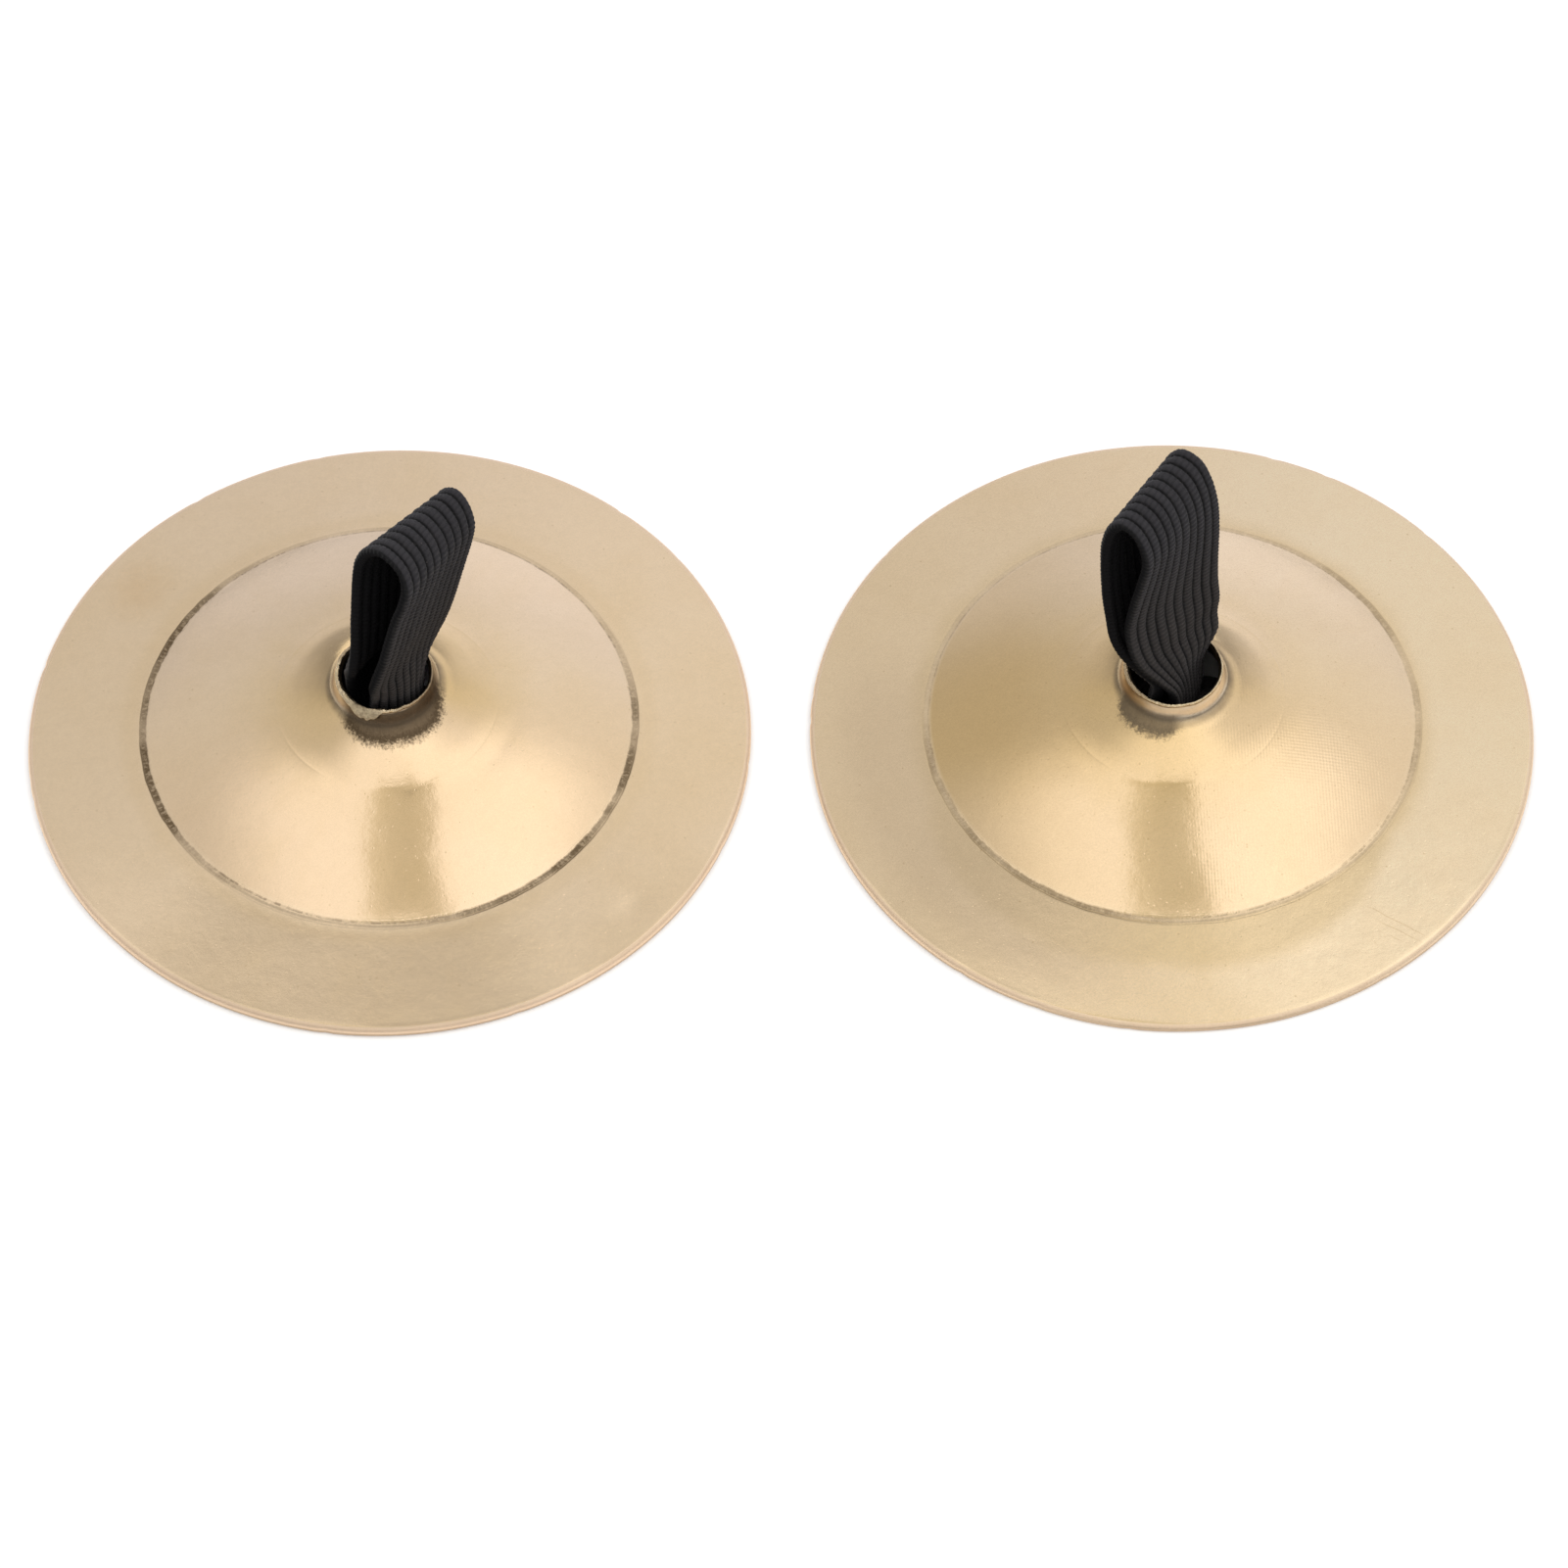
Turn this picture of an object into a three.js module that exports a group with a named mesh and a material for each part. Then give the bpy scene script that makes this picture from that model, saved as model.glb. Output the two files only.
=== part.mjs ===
// A pair of finger cymbals (zills), lying dome up side by side.
// Each cymbal is a pressed brass plate: a gently sloping flange, a crease, a low domed boss and an extruded neck.
// A flat corded elastic is doubled into a finger loop, passes down through the neck and is knotted in the
// hollow under the boss. Its two cut tails lie in the hollow.
// Millimetres, +Z up. The origin is on the table plane, midway between the two cymbals. +X runs from the left
// cymbal to the right one, and -Y is the player's side, the front.
import * as THREE from "three";

const { degToRad, lerp, clamp, smoothstep } = THREE.MathUtils;

// ---- driving dimensions ----------------------------------------------------
const PAIR_SPACING = 68.1; // distance between the two plate centres

const PLATE_R = 31.5; // outside radius of the plate
const PLATE_T = 0.8; // sheet thickness of flange and boss
const PLATE_FACETS = 60; // facets round each plate
const LAND_W = 0.55; // width of the flat striking land under the rim
const LAND_INSET = 0.15; // from the rim in to the land's outer edge
const CREASE_R = 21.2; // radius of the crease between flange and boss
const CREASE_Z = 2.2; // height of the crease's upper side
const LIP_R = 4.35; // outside radius of the neck's lip
const LIP_Z = 9.8; // height of the neck's lip
const LIP_T = 0.55; // sheet thickness at the lip
const THINNING_R = 9.5; // the sheet starts to thin towards the lip here
const THINNING_RUN = 5; // and reaches the lip's thickness this much further in

const BAND_W = 10.0; // width of the elastic
const BAND_T = 1.0; // thickness of the elastic
const NECK_HALF_W = 2.9; // half width of the gathered elastic at the neck
const GATHER_Z0 = 10.3; // the band starts to open out from its gathered width here
const GATHER_Z1 = 13.9; // and has its full width here
const LOOP_STATIONS = 46; // steps along the loop

const GAP = 0.3; // clearance from the knot to the legs and the tails
const LEGS_HALF_T = 1.15; // half thickness of the two legs together
const LEGS_Z1 = 8.5; // top of the legs
const KNOT_R = 6.3; // widest radius of the knot
const KNOT_Z0 = 0.45; // underside of the knot
const KNOT_Z1 = 5.0; // top of the knot
const KNOT_FACETS = 28; // facets round the knot
const TAIL_END = 13.4; // how far each tail reaches from the plate's axis
const TAIL_W = 8.6; // width of a tail

// Slope of the plate's upper surface from the crease in to the neck: [radius, degrees].
const SLOPES = [
  [CREASE_R, 23.0], [18.0, 19.4], [15.0, 15.7], [12.0, 12.0], [9.85, 11.0], [9.45, 23.6], [8.4, 24.8],
  [7.2, 26.0], [6.2, 28.5], [5.3, 32.0], [4.9, 41.0], [4.7, 60.0], [4.6, 78.0],
];

// Each loop: the direction of the band's width in degrees from +X, and the lines of its front and back edges as
// [along, sideways, height] points, from the left leg's foot over the top to the right leg's foot.
// Along is how far the band's middle has moved in the direction of its width, because the loop leans back as it
// rises. Sideways is at right angles to the band's width and points to the front right.
const LEFT = {
  azimuth: 43.7,
  front: [
    [0, -0.66, 9.6], [0.02, -0.37, 11.17], [0.31, 0.38, 12.79], [0.69, 0.63, 14.82], [1.15, 0.5, 17.1],
    [1.72, 0.1, 19.87], [2.26, -0.26, 22.3], [2.73, -0.51, 24.35], [3.18, -0.48, 26.16], [3.6, 0.23, 27.77],
    [3.87, 1.95, 28.88], [3.79, 4.18, 28.69], [3.47, 5.22, 27.48], [3.03, 5.23, 25.66], [2.48, 4.76, 23.36],
    [1.91, 4.35, 20.59], [1.3, 4.04, 17.8], [0.74, 3.42, 15.12], [0.26, 2.33, 12.48], [0.01, 1.09, 10.98],
    [0, 0.66, 9.6],
  ],
  back: [
    [0, -0.66, 9.6], [0.02, -0.62, 11.17], [0.31, -0.32, 13.19], [0.69, -0.12, 15.22], [1.15, -0.1, 17.3],
    [1.72, -0.2, 19.57], [2.26, -0.26, 21.7], [2.73, -0.46, 23.55], [3.18, -0.58, 25.26], [3.6, -0.37, 26.92],
    [3.87, 0.75, 27.88], [3.79, 2.03, 27.44], [3.47, 2.92, 26.18], [3.03, 2.98, 24.56], [2.48, 2.81, 22.46],
    [1.91, 2.65, 20.49], [1.3, 2.39, 18], [0.74, 1.92, 15.42], [0.26, 1.43, 12.98], [0.01, 0.84, 11.18],
    [0, 0.66, 9.6],
  ],
};
const RIGHT = {
  azimuth: 55.7,
  front: [
    [0, -0.66, 9.6], [0.02, -0.96, 11.37], [0.16, -2.26, 13.14], [0.36, -3.6, 15.59], [0.61, -4.37, 18.38],
    [0.91, -4.97, 21.48], [1.22, -5.33, 24.37], [1.44, -5.39, 26.59], [1.65, -4.98, 28.65], [1.78, -4.01, 29.74],
    [1.75, -2.8, 29.47], [1.61, -1.75, 28.21], [1.42, -1.32, 26.63], [1.13, -1.67, 23.71], [0.82, -2.16, 20.62],
    [0.54, -2.37, 17.69], [0.32, -1.62, 15.07], [0.14, -0.3, 12.96], [0.02, 0.69, 11.37], [0, 0.66, 9.6],
  ],
  back: [
    [0, -0.66, 9.6], [0.02, -0.81, 11.37], [0.16, -1.51, 13.34], [0.36, -2.45, 15.79], [0.61, -3.37, 18.38],
    [0.91, -4.22, 21.58], [1.22, -4.83, 24.67], [1.44, -5.04, 26.89], [1.65, -4.83, 28.75], [1.78, -3.81, 29.99],
    [1.75, -2.35, 29.82], [1.61, -1.25, 28.41], [1.42, -0.52, 26.43], [1.13, -0.02, 23.71], [0.82, 0.24, 20.62],
    [0.54, 0.53, 17.69], [0.32, 0.88, 15.27], [0.14, 1, 13.16], [0.02, 0.79, 11.37], [0, 0.66, 9.6],
  ],
};

// ---- materials -------------------------------------------------------------
const brass = () => new THREE.MeshStandardMaterial({ color: 0xd6b98a, roughness: 0.28, metalness: 1.0 });
const elastic = () => new THREE.MeshStandardMaterial({ color: 0x2b2829, roughness: 0.92, metalness: 0.0 });

// ---- helpers ---------------------------------------------------------------
const toVectors = (points) => points.map(([x, y]) => new THREE.Vector2(x, y));

// A profile of [radius, height] points turned round the Z axis.
function turned(profile, facets) {
  return new THREE.LatheGeometry(toVectors(profile), facets).rotateX(Math.PI / 2);
}

// ---- the plate -------------------------------------------------------------
// The boss's upper surface as [radius, height, slope], its height summed up from the mean slope of each step.
function bossSurface() {
  let z = CREASE_Z;
  return SLOPES.map(([radius, slope], i) => {
    if (i > 0) {
      const [outerRadius, outerSlope] = SLOPES[i - 1];
      z += (outerRadius - radius) * Math.tan(degToRad((outerSlope + slope) / 2));
    }
    return [radius, z, slope];
  });
}

// The point of the underside that lies square below a point of the boss's upper surface.
function undersidePoint([radius, z, slope]) {
  const thinned = clamp((THINNING_R - radius) / THINNING_RUN, 0, 1);
  const thickness = lerp(PLATE_T, LIP_T, thinned);
  const angle = degToRad(slope);
  return [radius - thickness * Math.sin(angle), z - thickness * Math.cos(angle)];
}

// The closed section: from the rim over the top to the lip, then back out along the underside.
function plateProfile() {
  const boss = bossSurface();
  const flangeGradient = (CREASE_Z - PLATE_T) / (PLATE_R - CREASE_R);
  const flangePoint = (radius, drop = 0) => [radius, PLATE_T + (PLATE_R - radius) * flangeGradient - drop];
  const rimBottom = [PLATE_R, 0.36];
  const landOuterR = PLATE_R - LAND_INSET;
  const boreR = LIP_R - LIP_T;

  return [
    // rim and flange
    rimBottom, [PLATE_R, 0.52], [PLATE_R - 0.08, 0.68], flangePoint(PLATE_R - 0.28),
    flangePoint(CREASE_R + 0.7), flangePoint(CREASE_R + 0.25, 0.06),
    // boss
    ...boss.map(([radius, z]) => [radius, z]),
    // lip, outside then inside
    [LIP_R + 0.08, LIP_Z - 0.22], [LIP_R, LIP_Z - 0.08], [LIP_R - 0.1, LIP_Z],
    [boreR + 0.05, LIP_Z], [boreR, LIP_Z - 0.15], [boreR, LIP_Z - 0.42],
    // underside of the boss, with its own corner at the crease
    ...boss.slice(1).reverse().map(undersidePoint),
    [CREASE_R - 0.15, CREASE_Z - PLATE_T - 0.02],
    // striking land
    [landOuterR - LAND_W, 0], [landOuterR, 0], [PLATE_R - 0.03, 0.14],
    rimBottom,
  ];
}

// ---- the elastic -----------------------------------------------------------
// In the strap's own frame X runs along the band's width, towards its back edge.

// Evenly spaced points along a smooth curve through an edge line's points.
function spacedAlong(line) {
  const points = line.map((point) => new THREE.Vector3(...point));
  return new THREE.CatmullRomCurve3(points, false, "centripetal").getSpacedPoints(LOOP_STATIONS);
}

// Half width of the band at a height: gathered at the neck, full width above.
function halfWidth(z) {
  return lerp(NECK_HALF_W, BAND_W / 2, smoothstep(z, GATHER_Z0, GATHER_Z1));
}

// The finger loop: a flat bar bent over from one leg to the other, each edge on its own line.
function loopGeometry({ front, back }) {
  const frontEdge = spacedAlong(front);
  const backEdge = spacedAlong(back);
  // across: -1 at the front edge, +1 at the back edge
  const pointAt = (station, across) =>
    new THREE.Vector3().lerpVectors(frontEdge[station], backEdge[station], (across + 1) / 2);

  // The box is 2 across and 2 thick, so its x and y run from -1 to +1, and is one unit long per station.
  const geometry = new THREE.BoxGeometry(2, 2, LOOP_STATIONS, 2, 1, LOOP_STATIONS);
  const position = geometry.attributes.position;
  for (let i = 0; i < position.count; i++) {
    const across = position.getX(i);
    const face = position.getY(i); // +1 on the outer face, -1 on the inner
    const station = Math.round(position.getZ(i) + LOOP_STATIONS / 2);
    const middle = pointAt(station, across);
    const next = pointAt(Math.min(station + 1, LOOP_STATIONS), across);
    const previous = pointAt(Math.max(station - 1, 0), across);
    const run = next.sub(previous).setX(0).normalize();
    const offset = (face * BAND_T) / 2;
    position.setXYZ(
      i,
      middle.x + across * halfWidth(middle.z),
      run.z * offset - middle.y, // sideways points along -Y
      middle.z + run.y * offset,
    );
  }
  return geometry;
}

// The two legs pressed together, a round-ended bar rising from the knot into the neck.
function legsGeometry() {
  const bottom = KNOT_Z1 + GAP;
  const radius = LEGS_HALF_T;
  const endX = NECK_HALF_W - radius; // centre of each round end
  const quarter = Math.PI / 2;
  const section = new THREE.Shape();
  section.moveTo(-endX, -radius);
  section.lineTo(endX, -radius);
  section.absarc(endX, 0, radius, -quarter, quarter, false);
  section.lineTo(-endX, radius);
  section.absarc(-endX, 0, radius, quarter, 3 * quarter, false);
  const options = { depth: LEGS_Z1 - bottom, bevelEnabled: false, curveSegments: 8 };
  return new THREE.ExtrudeGeometry(section, options).translate(0, 0, bottom);
}

// The knot: a round mound, widest low down and narrowing upwards.
function knotGeometry() {
  // [share of KNOT_R, height]
  const outline = [
    [0, KNOT_Z0], [0.68, KNOT_Z0], [0.9, 0.85], [1.0, 1.6], [1.0, 2.3], [0.9, 3.2], [0.76, 4.1],
    [0.57, 4.75], [0.35, KNOT_Z1], [0, KNOT_Z1],
  ];
  return turned(outline.map(([share, z]) => [share * KNOT_R, z]), KNOT_FACETS);
}

// A cut tail, drooping away from the knot's side. Direction +1 lays it along +Y, -1 along -Y.
function tailGeometry(direction) {
  const start = KNOT_R + GAP;
  // [distance from the axis, height]
  const top = [
    [start, 2.75], [start + 1.4, 2.55], [start + 3.4, 2.05], [TAIL_END - 1.4, 1.75], [TAIL_END, 1.65],
  ];
  const bottom = top.map(([distance, z]) => [distance, z - BAND_T]).reverse();
  const section = new THREE.Shape(toVectors([...top, ...bottom]));
  return new THREE.ExtrudeGeometry(section, { depth: TAIL_W, bevelEnabled: false })
    .translate(0, 0, -TAIL_W / 2)
    .rotateX(Math.PI / 2)
    .rotateZ((direction * Math.PI) / 2);
}

// ---- the pair --------------------------------------------------------------
function namedMesh(name, geometry, material) {
  const mesh = new THREE.Mesh(geometry, material);
  mesh.name = name;
  return mesh;
}

function strapGroup(side, strap) {
  const group = new THREE.Group();
  group.rotation.z = degToRad(strap.azimuth);
  const sections = {
    finger_loop: loopGeometry(strap),
    strap_legs: legsGeometry(),
    strap_knot: knotGeometry(),
    strap_tail_a: tailGeometry(1),
    strap_tail_b: tailGeometry(-1),
  };
  for (const [name, geometry] of Object.entries(sections)) {
    group.add(namedMesh(`${side}_${name}`, geometry, elastic()));
  }
  return group;
}

function cymbal(side, centreX, strap) {
  const group = new THREE.Group();
  group.position.x = centreX;
  group.add(
    namedMesh(`${side}_cymbal_plate`, turned(plateProfile(), PLATE_FACETS), brass()),
    strapGroup(side, strap),
  );
  return group;
}

const fingerCymbals = new THREE.Group();
fingerCymbals.add(
  cymbal("left", -PAIR_SPACING / 2, LEFT),
  cymbal("right", PAIR_SPACING / 2, RIGHT),
);

export default fingerCymbals;
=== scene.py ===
"""Looks of a pair of finger cymbals: pressed brass plates with a drawn neck, each on a knotted
loop of corded elastic.

The plates lie rim down on the floor at z = 0, necks up, and the viewer is towards -Y.
Lengths are in millimetres in each cymbal's own axes, and become metres when a mesh is made.
Bearings are in degrees anticlockwise from +X, so 270 faces the viewer. The stage is in metres.
"""
import math

import bpy
import numpy as np
from mathutils import Matrix, Vector


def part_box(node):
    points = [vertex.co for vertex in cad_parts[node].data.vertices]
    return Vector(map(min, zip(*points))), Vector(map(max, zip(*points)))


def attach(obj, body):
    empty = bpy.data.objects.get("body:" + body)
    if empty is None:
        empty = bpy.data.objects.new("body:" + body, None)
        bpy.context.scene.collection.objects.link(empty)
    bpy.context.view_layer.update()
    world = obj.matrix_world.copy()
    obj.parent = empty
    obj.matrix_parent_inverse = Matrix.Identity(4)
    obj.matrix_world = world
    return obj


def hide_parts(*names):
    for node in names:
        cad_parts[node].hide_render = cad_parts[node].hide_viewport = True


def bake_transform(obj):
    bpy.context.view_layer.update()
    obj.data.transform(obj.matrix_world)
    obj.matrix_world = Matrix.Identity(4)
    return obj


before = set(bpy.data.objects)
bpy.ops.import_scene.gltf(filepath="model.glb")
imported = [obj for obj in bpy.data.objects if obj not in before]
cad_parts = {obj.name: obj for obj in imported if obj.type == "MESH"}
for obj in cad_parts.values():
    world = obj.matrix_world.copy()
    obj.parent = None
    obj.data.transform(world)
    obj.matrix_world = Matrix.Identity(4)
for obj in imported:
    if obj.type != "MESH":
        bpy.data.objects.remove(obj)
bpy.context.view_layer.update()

MM = 0.001
SIDES = ("left", "right")

# level and upright parts of the camera's line of sight
SIGHT_LEVEL, SIGHT_DROP = 0.5873, 0.8094


# ---------------------------------------------------------------- noise and meshes
def smoothstep(x, low, high):
    share = np.clip((np.asarray(x, float) - low) / (high - low), 0, 1)
    return share * share * (3 - 2 * share)


def hump(distance, width, power=2):
    """1 at no distance, falling off in a bell; a higher even power flattens its top."""
    return np.exp(-((distance / width) ** power))


def hash01(index, seed):
    """A repeatable number from 0 to 1 for each whole number."""
    x = np.sin(np.asarray(index, float) * 127.1 + seed * 311.7) * 43758.5453
    return x - np.floor(x)


def ring_noise(angle, cells, seed):
    """Smooth noise from -1 to 1 round a circle."""
    x = (angle / (2 * math.pi)) % 1.0 * cells
    cell = np.floor(x)
    share = x - cell
    share = share * share * (3 - 2 * share)
    start, end = hash01(cell % cells, seed), hash01((cell + 1) % cells, seed)
    return (start + (end - start) * share) * 2 - 1


def line_noise(x, seed):
    """Smooth noise from -1 to 1 along a line."""
    cell = np.floor(x)
    share = x - cell
    share = share * share * (3 - 2 * share)
    return (hash01(cell, seed) * (1 - share) + hash01(cell + 1, seed) * share) * 2 - 1


def wrap(angle):
    return np.angle(np.exp(1j * angle))


def away(angle, bearing):
    """Signed angle in radians from a bearing in degrees."""
    return wrap(angle - math.radians(bearing))


def mesh_object(name, verts, faces):
    mesh = bpy.data.meshes.new(name)
    mesh.from_pydata((np.asarray(verts, float) * MM).tolist(), [], faces)
    mesh.update()
    mesh.polygons.foreach_set("use_smooth", [True] * len(mesh.polygons))
    ob = bpy.data.objects.new(name, mesh)
    bpy.context.scene.collection.objects.link(ob)
    return ob


def add_attribute(ob, name, values):
    layer = ob.data.attributes.new(name, "FLOAT", "POINT")
    layer.data.foreach_set("value", np.asarray(values, np.float32).ravel())


def grid_faces(rows, columns, closed_rows=True):
    """Quads over points stored row by row; each row is a closed ring."""
    i, j = np.meshgrid(
        np.arange(rows if closed_rows else rows - 1), np.arange(columns), indexing="ij"
    )
    i2, j2 = (i + 1) % rows, (j + 1) % columns
    corners = [i * columns + j, i2 * columns + j, i2 * columns + j2, i * columns + j2]
    return np.stack(corners, -1).reshape(-1, 4).tolist()


# ---------------------------------------------------------------- the plates
PLATE_R, PLATE_T = 31.5, 0.8
PLATE_SEGMENTS = 540
CREASE_R, CREASE_Z = 21.2, 2.2
GROOVE_R = 21.42  # middle of the groove in the crease
LIP_R, LIP_Z = 4.35, 9.8
LIP_T = 0.55  # sheet thickness at the neck
LIP_EDGE = 0.34  # thickness of the lip's torn edge
RIM_ROUND, RIM_ROUND_Z = 0.34, 0.40  # radius and centre height of the rim's upper edge
FLANGE_SLOPE = math.atan2(CREASE_Z - PLATE_T, PLATE_R - CREASE_R)

# Part numbers stored with the mesh, in order from the rim over the lip to the underside.
RIM, FLANGE, CREASE, BOSS, NECK_FOOT, WALL, WALL_TOP = 0, 1, 2, 3, 3.5, 3.7, 3.8
LIP, LIP_END, INSIDE, INSIDE_FOOT, UNDER = 4, 4.4, 5, 5.5, 6
LIP_STEP = 0.1  # part number gained per radian over the lip

# (radius, slope in degrees) of the boss's upper side
BOSS_SLOPES = [
    (21.2, 23.0), (18.0, 19.4), (15.0, 15.7), (12.0, 12.6), (9.85, 12.4), (9.45, 23.6),
    (8.4, 24.8), (7.2, 26.0), (6.2, 28.5), (5.3, 32.0), (4.9, 41.0), (4.7, 60.0), (4.6, 78.0),
]

# crisp_at: bearing of the crisp bend at the neck's foot; thin_at and thin_width (radians):
# where the neck is drawn thinner, with thin_power its falloff; ragged: unevenness of the lip
PLATE_LOOKS = {
    "left": dict(seed=3, crisp_at=268, thin_at=22, thin_width=1.30, ragged=1.0),
    "right": dict(seed=8, crisp_at=270, thin_at=335, thin_width=1.85, ragged=0.55),
}
THIN_POWER = 4


def flange_z(rad):
    return PLATE_T + (PLATE_R - rad) * math.tan(FLANGE_SLOPE)


def boss_points():
    """Radius, height and slope of the boss's upper side, closely spaced."""
    points, z = [], CREASE_Z
    for (rad0, slope0), (rad1, slope1) in zip(BOSS_SLOPES, BOSS_SLOPES[1:]):
        count = 9 if rad0 - rad1 > 1.5 else 6
        for i in range(count):
            share = i / count
            rad = rad0 + (rad1 - rad0) * share
            slope = slope0 + (slope1 - slope0) * share
            rise = (rad0 - rad) * math.tan(math.radians((slope0 + slope) / 2))
            points.append((rad, z + rise, slope))
        z += (rad0 - rad1) * math.tan(math.radians((slope0 + slope1) / 2))
    points.append((rad1, z, slope1))
    return points


def plate_profile():
    """Rows of (radius, height, part number) round the plate's closed cross-section."""
    rows = []
    # the rim has a soft upper edge and a sharper lower one
    round_r = PLATE_R - RIM_ROUND
    for turn in np.radians(np.linspace(-8, 82, 9)):
        z = RIM_ROUND_Z + (flange_z(round_r) - RIM_ROUND_Z) * math.sin(turn)
        rows.append((round_r + RIM_ROUND * math.cos(turn), z, RIM))
    for rad in np.linspace(PLATE_R - 0.6, 22.4, 30):
        rows.append((rad, flange_z(rad), FLANGE))
    for rad in np.linspace(22.2, 21.25, 16):
        rows.append((rad, flange_z(rad) - 0.007 * hump(rad - GROOVE_R, 0.15), CREASE))
    boss = boss_points()
    for rad, z, _ in boss:
        rows.append((rad, z, BOSS if rad > 6.4 else NECK_FOOT))
    rows.append((4.54, 8.95, WALL))
    rows.append((4.47, LIP_Z - 0.34, WALL_TOP))
    # over the lip's thin edge
    half = LIP_EDGE / 2
    for turn in np.radians(np.linspace(0, 180, 13)):
        rad = LIP_R - half + half * math.cos(turn)
        rows.append((rad, LIP_Z - 0.14 + 0.14 * math.sin(turn), LIP + turn * LIP_STEP))
    rows.append((LIP_R - LIP_EDGE - 0.08, LIP_Z - 0.26, INSIDE))
    rows.append((LIP_R - LIP_T, LIP_Z - 0.42, INSIDE))
    # back down under the boss, the sheet thickening away from the neck
    for rad, z, slope in boss[::-1]:
        share = min(max((9.5 - rad) / 5, 0), 1)
        thick = PLATE_T + (LIP_T - PLATE_T) * share
        tilt = math.radians(slope)
        if rad < 20.9:
            part = INSIDE_FOOT if rad < 7 else UNDER
            rows.append((rad - thick * math.sin(tilt), z - thick * math.cos(tilt), part))
    rows.append((20.85, CREASE_Z - PLATE_T - 0.06, UNDER))
    rows.append((21.3, CREASE_Z - PLATE_T - 0.02, UNDER))
    for rad in np.linspace(22.3, 30.4, 12):
        rows.append((rad, flange_z(rad) - PLATE_T / math.cos(FLANGE_SLOPE), UNDER))
    rows += [(30.75, 0.03, UNDER), (30.85, 0.0, UNDER), (31.1, 0.0, UNDER), (31.33, 0.0, UNDER)]
    rows += [(31.42, 0.05, RIM), (31.485, 0.15, RIM)]
    return np.array(rows)


def shape_sheet(rad, z, angle, part, side):
    """Heights with the unevenness of the boss, flange and crease."""
    look = PLATE_LOOKS[side]
    seed = look["seed"]
    top = part <= LIP
    # broad bowing of the sheet, which the reflections show
    bow = 0.030 * ring_noise(angle + 0.03 * rad, cells=7, seed=seed)
    bow = bow * np.sin(np.clip((rad - 5) / 26, 0, 1) * math.pi)
    fine_bow = 0.014 * ring_noise(angle + 0.06 * rad, cells=13, seed=seed + 1)
    bow = bow + fine_bow * smoothstep(rad, 8, 14) * (1 - smoothstep(rad, 25, 31))
    z = z + bow
    # a soft bend into the neck's foot, crisp only where it faces the viewer
    soft = 1 - hump(away(angle, look["crisp_at"]), 0.50, 6)
    bend_r, bend = 9.65, 1.7
    fillet = 0.25 / (4 * bend) * np.maximum(bend - np.abs(rad - bend_r), 0) ** 2
    z = z + (part != INSIDE) * soft * fillet
    if side == "right":
        # the flange droops towards the viewer
        droop = 0.026 * np.clip(rad - CREASE_R, 0, 10.3) * hump(away(angle, 274), 0.62)
        z = z - top * droop * np.clip(z / 0.75, 0, 1)
    else:
        # a shallow dent near the rim
        z = z - top * 0.05 * hump(rad - 28.6, 1.3) * hump(away(angle, 318), 0.055)
    # the crease's groove comes and goes, with short cross ticks
    ticks = np.maximum(0, np.sin(angle * 420 + 4 * ring_noise(angle, cells=31, seed=seed + 2)))
    ticks = ticks * (ring_noise(angle, cells=19, seed=seed + 3) > -0.1)
    depth = 0.008 * ring_noise(angle, cells=43, seed=seed + 4) + 0.007 * ticks
    return z + hump(rad - GROOVE_R, 0.18) * top * depth


def shape_rim(rad, z, angle, part, seed):
    """Small nicks and a faintly wavy edge."""
    edge = smoothstep(rad, 30.9, 31.4)
    nicks = np.zeros_like(angle)
    for i in range(11):
        at = hash01(i, seed + 20) * 2 * math.pi
        nicks = nicks - (0.03 + 0.06 * hash01(i, seed + 21)) * hump(wrap(angle - at), 0.012)
    rad = rad + edge * (nicks + 0.018 * ring_noise(angle, cells=29, seed=seed + 5))
    z = z + edge * (part <= LIP) * 0.025 * ring_noise(angle, cells=37, seed=seed + 11)
    return rad, z


def shape_neck(rad, z, angle, part, over_lip, look):
    """Radii with a neck that isn't quite round, drawn thinner on one side."""
    seed = look["seed"]
    wall = smoothstep(z, 7.6, 9.0) * (rad < 5.6)
    uneven = 0.05 * ring_noise(angle, cells=5, seed=seed + 10)
    uneven = uneven + 0.03 * ring_noise(angle, cells=17, seed=seed + 9)
    rad = rad + wall * uneven
    thin = hump(away(angle, look["thin_at"]), look["thin_width"], THIN_POWER)
    outside = ((part >= BOSS) & (part <= LIP_END)) * (1 - over_lip)
    return rad - 0.24 * thin * outside * (1 - smoothstep(rad, 4.85, 5.9))


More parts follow.
